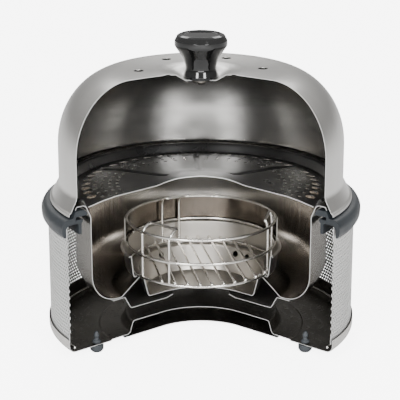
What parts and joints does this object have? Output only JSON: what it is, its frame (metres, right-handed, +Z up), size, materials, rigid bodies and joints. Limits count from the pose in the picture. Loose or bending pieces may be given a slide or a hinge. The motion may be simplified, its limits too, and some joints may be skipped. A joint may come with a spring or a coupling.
{
  "type": "tabletop charcoal cooker",
  "caption": "Round tabletop charcoal cooker as a cutaway: domed lid, grill plate, moated bowl with fire tray and wire basket, and a perforated steel base.",
  "frame": {"origin": "centre of the footprint, on the surface that the feet stand on", "axes": "+X across the cooker to its right, +Y from the cut-away front to the back, +Z up"},
  "size_m": [0.32, 0.2506, 0.3075],
  "materials": {
    "brushed_steel": "satin brushed stainless steel",
    "polished_steel": "drawn stainless steel, half polished",
    "perforated_steel": "perforated stainless steel sheet",
    "wire_steel": "bright plated steel wire",
    "nonstick_coating": "satin black non-stick coating on aluminium",
    "grip_plastic": "matte blue-grey heat-proof plastic",
    "knob_plastic": "gloss black phenolic plastic",
    "foot_rubber": "dark blue-grey rubber"
  },
  "bodies": {
    "base": {"floor_pan": "brushed_steel", "bottom_plate": "brushed_steel", "perforated_wall": "perforated_steel", "hem_wire": "wire_steel", "grip_ring": "grip_plastic", "foot_1": "foot_rubber", "foot_2": "foot_rubber", "foot_3": "foot_rubber", "foot_4": "foot_rubber", "foot_stem_1": "foot_rubber", "foot_stem_2": "foot_rubber", "foot_stem_3": "foot_rubber", "foot_stem_4": "foot_rubber"},
    "bowl": {"moat_bowl": "polished_steel", "fire_tray": "polished_steel", "heat_shield": "brushed_steel"},
    "basket": {"basket_ring_bottom": "wire_steel", "basket_ring_middle": "wire_steel", "basket_ring_top": "wire_steel", "basket_bar_1": "wire_steel", "basket_bar_2": "wire_steel", "basket_bar_3": "wire_steel", "basket_bar_4": "wire_steel", "basket_bar_5": "wire_steel", "basket_bar_6": "wire_steel", "basket_bar_7": "wire_steel", "basket_bar_8": "wire_steel", "basket_bar_9": "wire_steel", "basket_bar_10": "wire_steel", "basket_hoop_left": "wire_steel", "basket_hoop_right": "wire_steel", "basket_hoop_rear": "wire_steel", "ember_guard": "polished_steel"},
    "plate": {"grill_plate": "nonstick_coating"},
    "lid": {"lid_dome": "brushed_steel", "knob": "knob_plastic", "knob_washer": "wire_steel", "knob_screw": "wire_steel"}
  },
  "joints": [
    {"name": "bowl_lift", "type": "slide", "parent": "base", "child": "bowl", "axis": [0, 0, 1], "range_m": [0, 0.11]},
    {"name": "basket_lift", "type": "slide", "parent": "bowl", "child": "basket", "axis": [0, 0, 1], "range_m": [0, 0.09]},
    {"name": "plate_lift", "type": "slide", "parent": "basket", "child": "plate", "axis": [0, 0, 1], "range_m": [0, 0.06]},
    {"name": "lid_lift", "type": "slide", "parent": "plate", "child": "lid", "axis": [0, 0, 1], "range_m": [0, 0.15]}
  ]
}
